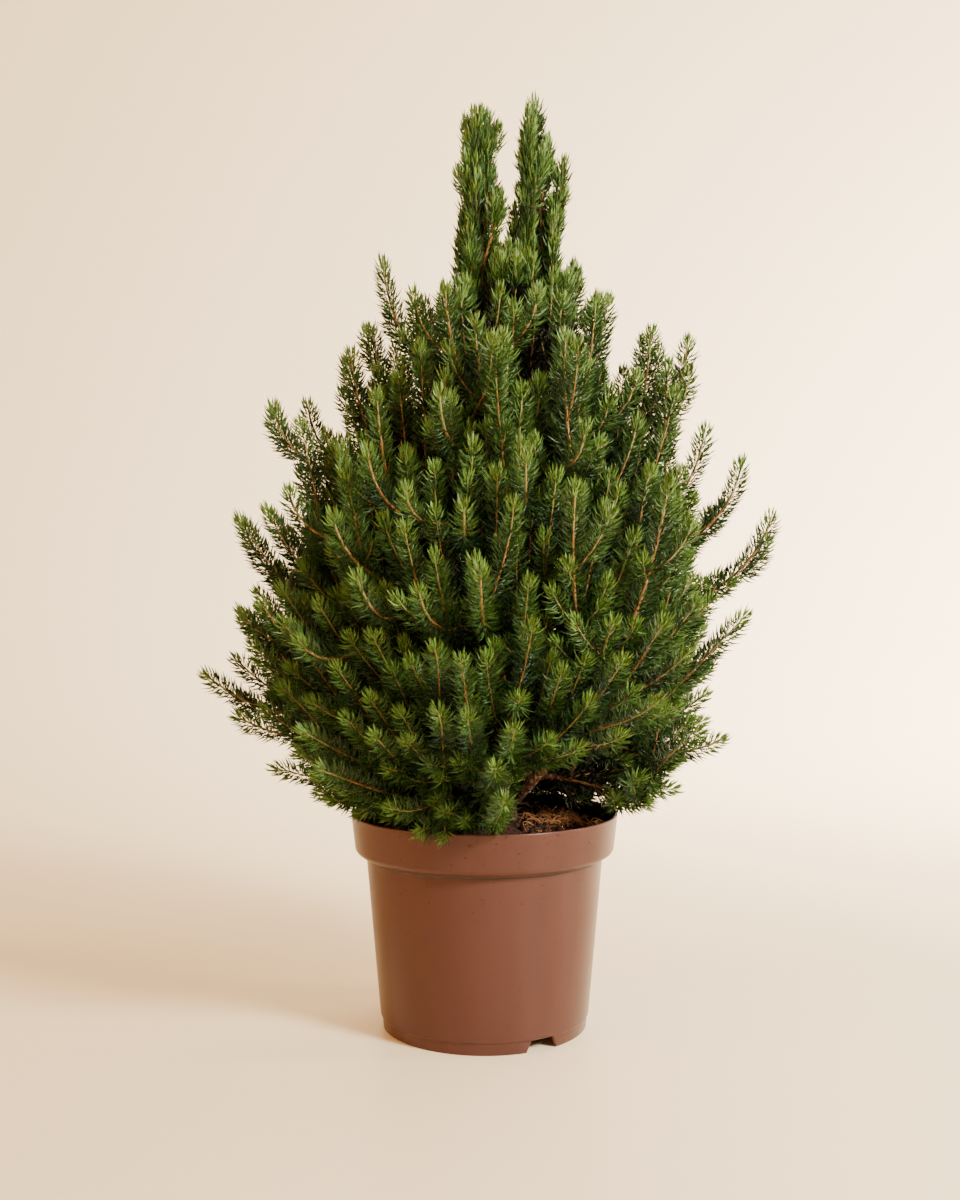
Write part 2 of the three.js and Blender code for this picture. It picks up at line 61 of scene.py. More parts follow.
class Finish:
    """A material: a Principled shader with these settings, and patterns in the object's own space."""

    def __init__(self, name, **settings):
        self.material = bpy.data.materials.new(name)
        self.material.use_nodes = True
        self.tree = self.material.node_tree
        self.place = self.node("ShaderNodeTexCoord", "Object")
        for socket, value in settings.items():
            self.set(socket.replace("_", " "), value)

    def give(self, node, socket, value):
        """Sets a node's input to a value, or links it to an output."""
        if isinstance(value, bpy.types.NodeSocket):
            self.tree.links.new(value, node.inputs[socket])
        else:
            node.inputs[socket].default_value = value

    def set(self, socket, value):
        self.give(self.tree.nodes["Principled BSDF"], socket, value)

    def node(self, kind, output, inputs=(), **settings):
        """An output of a new node with these settings and (socket, value or output) inputs."""
        node = self.tree.nodes.new(kind)
        for name, value in settings.items():
            setattr(node, name, value)
        for socket, value in inputs:
            self.give(node, socket, value)
        return node.outputs[output]

    def pattern(self, *settings, stretch=1):
        """Noise of this scale, detail and roughness. A stretch under 1 draws it out along Z."""
        place = self.place
        if stretch != 1:
            place = self.node("ShaderNodeMapping", "Vector", [("Vector", place), ("Scale", (1, 1, stretch))])
        inputs = zip(["Scale", "Detail", "Roughness"], settings)
        return self.node("ShaderNodeTexNoise", "Fac", [("Vector", place), *inputs])

    def height(self):
        return self.node("ShaderNodeSeparateXYZ", "Z", [("Vector", self.place)])

    def mapped(self, value, *ends):
        """A value mapped from one range, whose ends come first, to another."""
        inputs = zip(["From Min", "From Max", "To Min", "To Max"], ends)
        return self.node("ShaderNodeMapRange", "Result", [("Value", value), *inputs])

    def mix(self, share, first, second):
        """A mix of two colours. The node takes its share at 0 and its colours at 6 and 7, and gives 2."""
        return self.node("ShaderNodeMix", 2, [(0, share), (6, first), (7, second)], data_type="RGBA")

    def ramp(self, value, first, second):
        """A value turned to colours by a ramp of two (place, colour) stops and white at 1."""
        colours = self.node("ShaderNodeValToRGB", "Color", [("Fac", value)])
        elements = colours.node.color_ramp.elements
        elements[0].position, elements[0].color = first
        elements.new(second[0]).color = second[1]
        return colours

    def bump(self, height, strength, distance):
        inputs = [("Height", height), ("Strength", strength), ("Distance", distance)]
        self.set("Normal", self.node("ShaderNodeBump", "Normal", inputs))


def new_object(name, data):
    """An object at the origin, in the scene."""
    made = bpy.data.objects.new(name, data)
    bpy.context.scene.collection.objects.link(made)
    return made


def new_piece(name, mesh, *finishes):
    """An object with this mesh and these finishes."""
    for finish in finishes:
        mesh.materials.append(finish.material)
    return new_object(name, mesh)


def mesh_of(bm, name):
    """The finished mesh of a bmesh, shaded smooth, which is then freed."""
    for face in bm.faces:
        face.smooth = True
    mesh = bpy.data.meshes.new(name)
    bm.to_mesh(mesh)
    bm.free()
    return mesh


def profile_edges(bm, points):
    """A line of edges through [x, z] points, in metres, for a spin."""
    corners = [bm.verts.new((x, 0, z)) for x, z in points]
    edges = [bm.edges.new(pair) for pair in zip(corners, corners[1:])]
    return corners, edges


def turn_profile(bm, geometry, steps):
    """Spins a profile a full turn about Z."""
    bmesh.ops.spin(
        bm, geom=geometry, cent=(0, 0, 0), axis=(0, 0, 1), angle=2 * pi, steps=steps, use_merge=True
    )
    bmesh.ops.remove_doubles(bm, verts=bm.verts, dist=1e-6)


bend = [
    (SWEEP_FLAT + SWEEP_BEND * sin(a), SWEEP_BEND * (1 - cos(a)))
    for a in np.linspace(0, pi / 2, 13)
]
sweep_bm = bmesh.new()
corners, edges = profile_edges(sweep_bm, [(0, 0), (0.6, 0), *bend, (SWEEP_FLAT + SWEEP_BEND, SWEEP_TOP)])
turn_profile(sweep_bm, corners + edges, 72)
bmesh.ops.recalc_face_normals(sweep_bm, faces=sweep_bm.faces)
for face in sweep_bm.faces:
    if face.normal.z < -0.1 or face.normal.dot(face.calc_center_median()) > 0.1:
        face.normal_flip()

paper = Finish("matt_cream_paper", Roughness=0.42, Specular_IOR_Level=0.35)
paper.set("Base Color", linear("#eedfc2"))
# Rolled paper is never quite flat: waves of some 300 mm soften the reflection.
paper.set("Roughness", paper.mapped(paper.pattern(3.5), 0, 1, 0.34, 0.5))
sweep_piece = new_piece("paper_sweep", mesh_of(sweep_bm, "paper_sweep"), paper)

# ---------------------------------------------------------------- lights
# A softbox at the front right gives the soft shadow, and a tall strip beside it the streak on the pot. One
# behind edges the needles with light, a weak warm one fills the shaded side, and the last lights the wall.


def softbox(name, place, aim, size, power, colour):
    """An area light at a place, turned towards a point."""
    light = bpy.data.lights.new(name, "AREA")
    light.shape = "RECTANGLE"
    light.size, light.size_y = size
    light.energy = power
    light.color = linear(colour)[:3]
    box = new_object(name, light)
    box.location = place
    box.rotation_euler = (Vector(aim) - Vector(place)).to_track_quat("-Z", "Y").to_euler()


softbox("key_softbox", (1.35, -1.15, 1.25), (0, 0, 0.3), (0.45, 0.45), 117, "#fff6e8")
softbox("side_strip", (1.9, -0.05, 0.8), (0, 0, 0.25), (0.14, 1.1), 24, "#fff0dc")
softbox("rear_softbox", (1.2, 1.3, 0.9), (0, 0, 0.2), (0.5, 1.0), 12, "#ffe9cc")
softbox("warm_softbox", (-1.5, -0.5, 0.8), (-0.7, 0.3, 0), (0.8, 0.8), 18, "#ffa64e")
softbox("backdrop_softbox", (1.4, 0.9, 1.6), (1.6, 3.3, 0.3), (1.5, 1.5), 360, "#fff3e2")

world = bpy.data.worlds.new("studio")
bpy.context.scene.world = world
world.use_nodes = True
surroundings = world.node_tree.nodes["Background"].inputs
surroundings["Color"].default_value = linear("#f3d5a8")
surroundings["Strength"].default_value = 0.25

# ---------------------------------------------------------------- camera
# A portrait frame, 0.95 m from the pot's axis and about level with the middle of the plant.

camera_data = bpy.data.cameras.new("camera")
camera_data.sensor_fit = "VERTICAL"
camera_data.sensor_height = 36
camera_data.lens = 39.75
camera = new_object("camera", camera_data)
camera.location = (-0.0032, -0.95, 0.3082)
camera.rotation_euler = (radians(90 - 0.35), 0, 0)
bpy.context.scene.camera = camera

# ---------------------------------------------------------------- pot
# A nursery pot of injection-moulded polypropylene in two layers, brown outside and black inside. It has a
# straight band round its mouth, a thin foot ring with drain notches, and a semi-gloss skin.

MM = 0.001
POT_HEIGHT = 151
RIM_RADIUS = 95
POT_BODY = [84.3, 74.3]  # radius under the band and at the foot
POT_WALL = 1.6
FOOT_HEIGHT = 8.5
POT_STEPS = 160  # round its axis
NOTCH_AZIMUTHS = [-58, 62, 182]
NOTCH_WIDTHS = [12.5, 8.5]  # from its middle, at the ground and at its top
NOTCH_DEPTH = 14
NOTCH_TOP = 8.3

# Each corner is [radius, height, rounding].
pot_outside = [
    [0, 0, 0],
    [44, 0, 0.8],
    [47.5, FOOT_HEIGHT, 1.5],
    [70.2, FOOT_HEIGHT, 0.5],
    [70.4, 0, 0.4],
    [72.6, 0, 0.5],
    [73.2, FOOT_HEIGHT - 0.3, 0.2],
    [POT_BODY[1], FOOT_HEIGHT + 0.4, 0.4],
    [POT_BODY[0], 119.8, 0.5],
    [POT_BODY[0] - 0.9, 120.8, 0.3],
    [POT_BODY[0] + 2.2, 121.3, 0.3],
    [RIM_RADIUS - 2.8, 125, 2.2],
    [RIM_RADIUS - 0.1, 148.4, 1.5],
    [RIM_RADIUS, POT_HEIGHT, 0.5],
]
pot_inside = [
    [RIM_RADIUS - POT_WALL, POT_HEIGHT, 0.5],
    [RIM_RADIUS - 3 - POT_WALL, 127, 1.2],
    [POT_BODY[0] - POT_WALL, 118, 1.5],
    [POT_BODY[1] - POT_WALL, FOOT_HEIGHT + POT_WALL, 2],
    [46, FOOT_HEIGHT + POT_WALL, 1.5],
    [43, POT_WALL, 0.8],
    [0, POT_WALL, 0],
]


def rounded_profile(bm, points):
    """Edges through [radius, height, rounding] points in millimetres, with each corner rounded."""
    corners, _ = profile_edges(bm, [(r * MM, z * MM) for r, z, _ in points])
    for corner, (_, _, rounding) in zip(corners, points):
        if rounding:
            bmesh.ops.bevel(
                bm,
                geom=[corner],
                offset=rounding * MM,
                segments=3,
                profile=0.5,
                affect="VERTICES",
                material=-1,
            )


pot_bm = bmesh.new()
rounded_profile(pot_bm, pot_outside)
turn_profile(pot_bm, pot_bm.verts[:] + pot_bm.edges[:], POT_STEPS)
lining_bm = bmesh.new()
rounded_profile(lining_bm, [pot_outside[-1], *pot_inside])
turn_profile(lining_bm, lining_bm.verts[:] + lining_bm.edges[:], POT_STEPS)
for face in lining_bm.faces:
    face.material_index = 1 if face.calc_center_median().z < (POT_HEIGHT - 0.6) * MM else 0
pot_bm.from_mesh(mesh_of(lining_bm, "lining"))
bmesh.ops.remove_doubles(pot_bm, verts=pot_bm.verts, dist=2e-5)
bmesh.ops.recalc_face_normals(pot_bm, faces=pot_bm.faces)

brown_skin = Finish("polypropylene_brown_moulded", Roughness=0.3, Specular_IOR_Level=0.2, IOR=1.45)
# The melt leaves streaks of slightly lighter brown up the wall, some 20 mm wide.
streaks = brown_skin.pattern(45, 3, stretch=0.18)
skin = brown_skin.mix(streaks, linear("#452a24"), linear("#4e312c"))
# Splashes of wet compost dried on it: specks of 1 to 3 mm, thick near the mouth and rare below.
specks = brown_skin.pattern(260, 5, 0.7)
near_mouth = brown_skin.mapped(brown_skin.height(), 0.06, 0.15, 0, 0.06)
dirt_level = brown_skin.node("ShaderNodeMath", "Value", [(0, specks), (1, near_mouth)], operation="ADD")
dirt = brown_skin.mapped(dirt_level, 0.675, 0.7)
brown_skin.set("Base Color", brown_skin.mix(dirt, skin, linear("#35190f")))
brown_skin.set("Roughness", brown_skin.mapped(streaks, 0, 1, 0.24, 0.36))
# Fine orange peel of about 2 mm from the mould.
brown_skin.bump(brown_skin.pattern(420, 2), 0.05, 0.0004)

black_lining = Finish("polypropylene_black_lining", Roughness=0.5, Specular_IOR_Level=0.4)
# Dried water and peat leave a dull film in patches of some 15 mm.
film = black_lining.pattern(70, 4)
black_lining.set("Base Color", black_lining.mix(film, linear("#17110e"), linear("#2d2119")))

pot = new_piece("nursery_pot", mesh_of(pot_bm, "nursery_pot"), brown_skin, black_lining)

# The drain notches are wedges cut out of the foot ring, wider at the ground.
wedge_bm = bmesh.new()
for azimuth in NOTCH_AZIMUTHS:
    made = bmesh.ops.create_cube(wedge_bm, size=1)["verts"]
    for v in made:
        wide, height = (NOTCH_WIDTHS[0], -1) if v.co.z < 0 else (NOTCH_WIDTHS[1], NOTCH_TOP)
        v.co = ((v.co.x * NOTCH_DEPTH + 73) * MM, v.co.y * 2 * wide * MM, height * MM)
    bmesh.ops.rotate(wedge_bm, verts=made, cent=(0, 0, 0), matrix=Matrix.Rotation(radians(azimuth), 3, "Z"))
bmesh.ops.recalc_face_normals(wedge_bm, faces=wedge_bm.faces)
wedges = new_piece("notch_wedges", mesh_of(wedge_bm, "notch_wedges"))
cut = pot.modifiers.new("drain_notches", "BOOLEAN")
cut.operation, cut.object, cut.solver = "DIFFERENCE", wedges, "EXACT"
notched = bpy.data.meshes.new_from_object(pot.evaluated_get(bpy.context.evaluated_depsgraph_get()))
pot.modifiers.clear()
pot.data = notched
bpy.data.objects.remove(wedges)
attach(pot, "root")
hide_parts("pot")

# ---------------------------------------------------------------- compost
# Peat, pressed round the root ball to a finger's width under the mouth. Its top is loose: crumbs, and a
# tuft of dry coir fibre that lies beside the stem.

SOIL_EDGE = 139
SOIL_TOP = 145
SOIL_RADIUS = 91.2
SOIL_LUMPS = 2.6  # the height of its unevenness
CRUMBS = 620
CRUMBS_WITHIN = 88
TUFT_FIBRES = 150
LOOSE_FIBRES = 60


def soil_height(x, y):
    """The compost's level at a place, in millimetres."""
    r = hypot(x, y)
    level = SOIL_TOP + (SOIL_EDGE + 0.5 - SOIL_TOP) * min(1, max(0, (r - 30) / 55))
    lumps = noise.fractal(Vector((x * 0.045, y * 0.045, 3.1)), 0.9, 2.1, 5) * SOIL_LUMPS
    return level + lumps * min(1, max(0.25, (92 - r) / 12))


peat_bm = bmesh.new()
radii = np.linspace(0, SOIL_RADIUS, 62)
corners, edges = profile_edges(peat_bm, [(r * MM, SOIL_EDGE * MM) for r in radii])
turn_profile(peat_bm, corners + edges, 150)
for v in peat_bm.verts:
    v.co.z = soil_height(v.co.x / MM, v.co.y / MM) * MM
rim = [e for e in peat_bm.edges if e.is_boundary]
skirt = bmesh.ops.extrude_edge_only(peat_bm, edges=rim)["geom"]
for v in [g for g in skirt if isinstance(g, bmesh.types.BMVert)]:
    v.co = (v.co.x * 0.90, v.co.y * 0.90, 0.116)
bmesh.ops.holes_fill(peat_bm, edges=[e for e in peat_bm.edges if e.is_boundary])

crumb_random = np.random.default_rng(11)
for _ in range(CRUMBS):
    a, r = crumb_random.uniform(0, 2 * pi), CRUMBS_WITHIN * crumb_random.uniform(0.02, 1) ** 0.5
    x, y, size = r * cos(a), r * sin(a), crumb_random.gamma(2.2, 0.55) + 0.5
    made = bmesh.ops.create_icosphere(peat_bm, subdivisions=1, radius=min(size, 3.2) * MM)["verts"]
    for v in made:
        v.co *= 1 + 0.55 * noise.noise(v.co * 900 + Vector((x, y, 0)))
    turn = Euler(crumb_random.uniform(0, 6, 3)).to_matrix()
    bmesh.ops.scale(peat_bm, verts=made, vec=(1.3, 0.9, 0.7))
    bmesh.ops.rotate(peat_bm, verts=made, cent=(0, 0, 0), matrix=turn)
    lift = soil_height(x, y) + size * 0.25
    bmesh.ops.translate(peat_bm, verts=made, vec=(x * MM, y * MM, lift * MM))
bmesh.ops.recalc_face_normals(peat_bm, faces=peat_bm.faces)

peat = Finish("peat_loose_damp", Roughness=0.95, Specular_IOR_Level=0.2)
# Damp peat is near black with browner crumbs of 2 to 5 mm.
grains = peat.pattern(300, 6, 0.65)
peat.set("Base Color", peat.ramp(grains, (0.34, linear("#0b0806")), (0.8, linear("#4a3020"))))
peat.bump(grains, 0.8, 0.0015)
peat_piece = new_piece("peat", mesh_of(peat_bm, "peat"), peat)
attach(peat_piece, "root")
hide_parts("compost")


def array_mesh(name, places, faces):
    """A smooth mesh from arrays of places, in millimetres, and of faces with the same number of corners."""
    mesh = bpy.data.meshes.new(name)
    mesh.vertices.add(len(places))
    mesh.vertices.foreach_set("co", (places * MM).astype(np.float32).ravel())
    mesh.loops.add(faces.size)
    mesh.loops.foreach_set("vertex_index", faces.astype(np.int32).ravel())
    mesh.polygons.add(len(faces))
    mesh.polygons.foreach_set("loop_start", np.arange(0, faces.size, faces.shape[1], dtype=np.int32))
    mesh.update(calc_edges=True)
    mesh.shade_smooth()
    return mesh


def units(rows):
    """Each row as a direction."""
    return rows / np.linalg.norm(rows, axis=1, keepdims=True)


def across_of(along):
    """Two directions square to each of these ones and to each other."""
    level = np.cross(along, [0.0, 0.0, 1.0])
    size = np.linalg.norm(level, axis=1, keepdims=True)
    level = np.where(size < 0.05, [[1.0, 0.0, 0.0]], level / np.maximum(size, 1e-9))
    level = units(level - along * np.sum(level * along, axis=1, keepdims=True))
    return level, np.cross(along, level)


def tube(places, radii, sides):
    """Places and quads of a thin tube along a line of places. Its ends are open, and too small to show."""
    first, second = across_of(units(np.gradient(places, axis=0)))
    turns = np.arange(sides) * 2 * pi / sides
    out = first[:, None] * np.cos(turns)[:, None] + second[:, None] * np.sin(turns)[:, None]
    rings = places[:, None] + out * np.asarray(radii)[:, None, None]
    low = np.arange((len(places) - 1) * sides).reshape(-1, sides)
    faces = np.stack([low, np.roll(low, -1, 1), np.roll(low, -1, 1) + sides, low + sides], axis=-1)
    return rings.reshape(-1, 3), faces.reshape(-1, 4)


def joined(parts):
    """Several (places, faces) as one."""
    starts = np.cumsum([0] + [len(places) for places, _ in parts[:-1]])
    return (
        np.concatenate([places for places, _ in parts]),
        np.concatenate([faces + start for (_, faces), start in zip(parts, starts)]),
    )


# The fibres lie in loose curls, most of them in one tuft in front of the stem and to its right.
fibre_random = np.random.default_rng(5)
fibres = []
for i in range(TUFT_FIBRES + LOOSE_FIBRES):
    tuft = i < TUFT_FIBRES
    x, y = fibre_random.normal([52, 4], [15, 17]) if tuft else fibre_random.uniform(-70, 70, 2)
    if hypot(x, y) > 84:
        continue
    length, bearing = fibre_random.uniform(9, 26), fibre_random.uniform(0, 2 * pi)
    curl, lift = fibre_random.normal(0, 3), fibre_random.uniform(0, 8 if tuft else 1)
    share = np.linspace(0, 1, 8)
    angles = bearing + curl * share
    steps = np.stack([np.cos(angles), np.sin(angles)], axis=1) * length / 7
    flat = np.array([x, y]) + np.cumsum(steps, axis=0)
    flat *= np.minimum(1, CRUMBS_WITHIN / np.maximum(1, np.linalg.norm(flat, axis=1)))[:, None]
    heights = [soil_height(*p) + 0.5 + lift * sin(pi * s) for p, s in zip(flat, share)]
    line = np.column_stack([flat, heights])
    fibres.append(tube(line, np.linspace(0.34, 0.14, 8), 3))

coir = Finish("coir_dry_fibre", Roughness=0.8, Specular_IOR_Level=0.3)
# Each fibre has its own shade of straw or rust, so the pattern changes every 4 mm.
coir.set("Base Color", coir.mix(coir.pattern(240), linear("#5a3015"), linear("#bf8a56")))
coir_piece = new_piece("coir_fibres", array_mesh("coir_fibres", *joined(fibres)), coir)
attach(coir_piece, "root")

# ---------------------------------------------------------------- the plant's lines
# Trunk, limbs, leads and shoots follow one seeded rule, in millimetres: a bough leaves the trunk low, turns
# up towards its tip, and takes the least detour that keeps it clear of the others.

CLEAR = 0.3
TRUNK_FOOT_X = 13
TRUNK_TIP = [-3, 0, 478]
TRUNK_BOW = 5
LEADER_FORK = 372
LEFT_TOP = [3, 2, 649]
RIGHT_TOP = [36, 4, 661]
LEADER_LIMB = 0.34

# Each bough: its name, the share of it that is bare limb, and its tips as [azimuth, reach, height].
BOUGHS = [
    ["front_right", 0.32, [-47, 168, 375], [-70, 160, 372], [-60, 158, 290]],
    ["rim_left", 0.34, [-162, 104, 166], [171, 126, 170]],
    ["low_back", 0.34, [88, 122, 184], [112, 128, 200]],
    ["rim_right", 0.34, [-6, 121, 166], [16, 134, 184]],
    ["rim_front", 0.34, [-128, 110, 170], [-108, 106, 174]],
    ["low_front", 0.3, [-104, 120, 192], [-82, 124, 203]],
    ["low_right", 0.36, [0, 171, 202], [17, 152, 214]],
    ["low_left", 0.34, [-173, 175, 221], [180, 200, 249], [170, 188, 259]],
    ["skirt_back_right", 0.34, [44, 156, 226], [66, 142, 244]],
    ["skirt_front_left", 0.34, [-120, 124, 196], [-138, 150, 238]],
    ["skirt_back_left", 0.34, [142, 158, 222], [158, 178, 258]],
    ["skirt_front_right", 0.34, [-54, 158, 247], [-28, 146, 232]],
    ["back_low_fork", 0.32, [94, 150, 300], [74, 152, 322]],
    ["left_fork", 0.34, [177, 176, 289], [-177, 171, 356], [-150, 168, 300]],
    ["far_right", 0.34, [-1, 205, 362], [-22, 164, 304], [14, 162, 250]],
    ["front_low_fork", 0.3, [-91, 164, 321], [-104, 164, 309], [-82, 152, 245]],
    ["back_left", 0.32, [124, 154, 312], [146, 164, 340]],
    ["back_right", 0.32, [32, 164, 318], [52, 158, 346]],
    ["front_left_fork", 0.3, [-118, 166, 318], [-133, 170, 278], [-127, 158, 356]],
    ["right_spire", 0, [-2, 145, 487], [14, 122, 495]],
    ["high_right", 0, [3, 186, 402], [-14, 156, 420]],
    ["mid_back", 0, [104, 134, 396], [126, 128, 428]],
    ["mid_left", 0, [-146, 154, 374], [-120, 146, 397]],
    ["upper_left_fork", 0, [176, 128, 444], [-174, 149, 439], [164, 164, 366]],
    ["mid_back_right", 0, [62, 134, 408], [38, 138, 436]],
    ["mid_front", 0, [-95, 148, 361], [-109, 150, 371]],
    ["mid_front_right", 0, [-80, 144, 392], [-32, 152, 388]],
    ["left_spire", 0, [-168, 99, 470], [168, 84, 500]],
    ["high_front_right", 0, [-62, 134, 412], [-36, 124, 452]],
    ["back_spire", 0, [92, 80, 496], [64, 92, 486]],
    ["high_front", 0, [-103, 126, 433], [-84, 108, 472]],
    ["upper_left", 0, [-172, 73, 542], [138, 60, 525]],
    ["front_spire", 0, [-108, 84, 508], [-64, 80, 508]],
]
LEFT_LEADER_TIPS = [[178, 13, 645], [-48, 17, 588], [-150, 14, 606], [95, 17, 602]]
RIGHT_LEADER_TIPS = [[12, 69, 541], [16, 88, 521], [1, 57, 616], [28, 25, 586]]
FIRST_FOOT = 6
FOOT_SPREAD = 272
INNER_REACH = 0.64
INNER_RISE = 0.36
INNER_TURN = 14
INNER_BELOW = 410
FORK_AIM = 0.8
SHOOT_GAP = 80
SHOOT_LENGTH = [44, 78]
SHOOT_ANGLE = radians(46)
TOP_GAP = 27
TOP_LENGTH = [22, 39]
TOP_ANGLE = radians(30)
TURN_STEP = 12
OWN_SPACE = 10


def lerp(a, b, share):
    return a + (b - a) * share


def stream(seed):
    """A repeatable stream of numbers from 0 to 1."""
    while True:
        seed = (seed * 1664525 + 1013904223) % 4294967296
        yield seed / 4294967296


def polar(azimuth, reach, height):
    return np.array([reach * cos(radians(azimuth)), reach * sin(radians(azimuth)), height])


def heading(azimuth, rise):
    """The direction with this azimuth that rises by so many degrees."""
    return polar(azimuth, cos(radians(rise)), sin(radians(rise)))


def unit(v):
    return v / np.linalg.norm(v)


def trunk_point(height):
    foot = SOIL_TOP + CLEAR
    share = (height - foot) / (TRUNK_TIP[2] - foot)
    bow = TRUNK_BOW * sin(pi * share)
    return np.array([lerp(TRUNK_FOOT_X, TRUNK_TIP[0], share) + bow, TRUNK_TIP[1] * share + bow / 2, height])


def rise_at(height):
    """How steeply shoots end at a height, in degrees: level at the skirt, almost upright at the top."""
    return 84 * min(1, max(0, (height - 165) / 235)) ** 0.7


class Line:
    """A curve that leaves one point in one direction and reaches another in another."""

    def __init__(self, start, set_off, end, arrive):
        span = 0.38 * np.linalg.norm(end - start)
        self.handles = np.array([start, start + set_off * span, end - arrive * span, end])
        self.steps = np.linspace(0, 1, 201)
        run = np.linalg.norm(np.diff(self.bezier(self.steps), axis=0), axis=1)
        self.run = np.concatenate([[0], np.cumsum(run)])
        self.length = self.run[-1]

    def bezier(self, t):
        t = np.asarray(t)[..., None]
        a, b, c, d = self.handles
        return a * (1 - t) ** 3 + 3 * b * t * (1 - t) ** 2 + 3 * c * t**2 * (1 - t) + d * t**3

    def point(self, share):
        """The place at a share of the curve's length, or at several."""
        return self.bezier(np.interp(np.asarray(share) * self.length, self.run, self.steps))

    def direction(self, share):
        t = np.interp(share * self.length, self.run, self.steps)
        near, far = max(0, t - 1e-4), min(1, t + 1e-4)
        return unit(self.bezier(far) - self.bezier(near))


def turned_about(v, axis, angle):
    return v * cos(angle) + np.cross(axis, v) * sin(angle) + axis * np.dot(axis, v) * (1 - cos(angle))


def side_of(along):
    """A level direction square to another, or +X where that one is upright."""
    side = np.cross(along, [0, 0, 1])
    return np.array([1.0, 0, 0]) if np.linalg.norm(side) < 0.05 else unit(side)


def line_to_tip(start, set_off, tip):
    return Line(start, set_off, polar(*tip), heading(tip[0], rise_at(tip[2])))


def side_line(line, share, roll, length, angle, lift=1):
    """A side shoot's line: it leaves at an angle, rolled about its lead, and turns a little upwards."""
    start, along = line.point(share), line.direction(share)
    across = turned_about(side_of(along), along, roll)
    set_off = unit(along * cos(angle) + across * sin(angle))
    arrive = heading(degrees(atan2(set_off[1], set_off[0])), rise_at(start[2] + length / 2) * lift)
    return Line(start, set_off, start + (set_off + arrive) * length * 0.5, arrive)


class Stems:
    """The stems grown so far, as straight pieces with their owners, to measure how near others come."""

    def __init__(self):
        self.owners, self.starts, self.ends = [], [], []

    def add(self, owner, points):
        self.owners.append(np.full(len(points) - 1, number_of(owner)))
        self.starts.append(points[:-1])
        self.ends.append(points[1:])

    def room(self, points, owner):
        """The distance from each point to the nearest stem of another owner."""
        if not self.owners:
            return np.full(len(points), np.inf)
        others = np.concatenate(self.owners) != owner_numbers.get(owner, -1)
        if not others.any():
            return np.full(len(points), np.inf)
        starts = np.concatenate(self.starts)[others]
        spans = np.concatenate(self.ends)[others] - starts
        gaps = points[:, None] - starts
        share = np.clip(np.sum(gaps * spans, axis=2) / np.sum(spans**2, axis=1), 0, 1)
        return np.linalg.norm(gaps - share[..., None] * spans, axis=2).min(axis=1)


owner_numbers = {}


def number_of(owner):
    return owner_numbers.setdefault(owner, len(owner_numbers))


def room_around(lines, owner, stems):
    """Each line's least room past its first stretch."""
    shares = [lerp(min(0.4, 30 / line.length), 1, np.arange(15) / 14) for line in lines]
    points = np.concatenate([line.point(s) for line, s in zip(lines, shares)])
    return stems.room(points, owner).reshape(len(lines), 15).min(axis=1)


DETOURS = sorted(
    [(turn * TURN_STEP, lift * TURN_STEP) for lift in [0, 1, -1] for turn in [0, 1, -1, 2, -2, 3, -3]],
    key=lambda detour: hypot(*detour),
)


def clear_line(start, away, climb, tip, owner, stems):
    """The line to a tip that passes the other stems by the least detour, or else with the most room."""
    lines = [line_to_tip(start, heading(away + turn, climb + lift), tip) for turn, lift in DETOURS]
    rooms = room_around(lines, owner, stems)
    clear = np.flatnonzero(rooms > OWN_SPACE)
    best = clear[0] if len(clear) else int(np.argmax(rooms))
    return lines[best], rooms[best]


class Stem:
    """A stem of a bough: its line, and the shares of it where its wood and its needles start."""

    def __init__(self, owner, line, start, needles_from, order):
        self.owner, self.line, self.start = owner, line, start
        self.needles_from, self.order, self.length = needles_from, order, line.length
        steps = max(3, int(np.ceil(line.length * (1 - start) / 12)))
        self.points = line.point(lerp(start, 1, np.arange(steps + 1) / steps))


def grow_leads(name, limb, line, forks, top, stems):
    """A bough's limb and leads: its own line past the limb, and a fork for each further tip."""
    if limb > 0:
        stems.add(name + "_bough", line.point(limb * np.arange(9) / 8))
    needles_from = limb if top else max(limb + 0.04, 0.36)
    leads = [Stem(name, line, limb + CLEAR / line.length if limb else 0, needles_from, 0)]
    for i, tip in enumerate(forks):
        share = max(limb + 0.04, 0.3) + 0.06 * i
        start = line.point(share)
        chord = unit(polar(*tip) - start)
        aim = unit(lerp(line.direction(share), chord, FORK_AIM))
        away, climb = degrees(atan2(aim[1], aim[0])), degrees(asin(aim[2]))
        fork, room = clear_line(start, away, climb, tip, name, stems)
        if room > OWN_SPACE * 0.7:
            leads.append(Stem(name, fork, 0, 0.3, 0))
    for lead in leads:
        stems.add(name, lead.points)
    return {"name": name, "limb": limb, "line": line, "leads": leads, "top": top, "shoots": []}


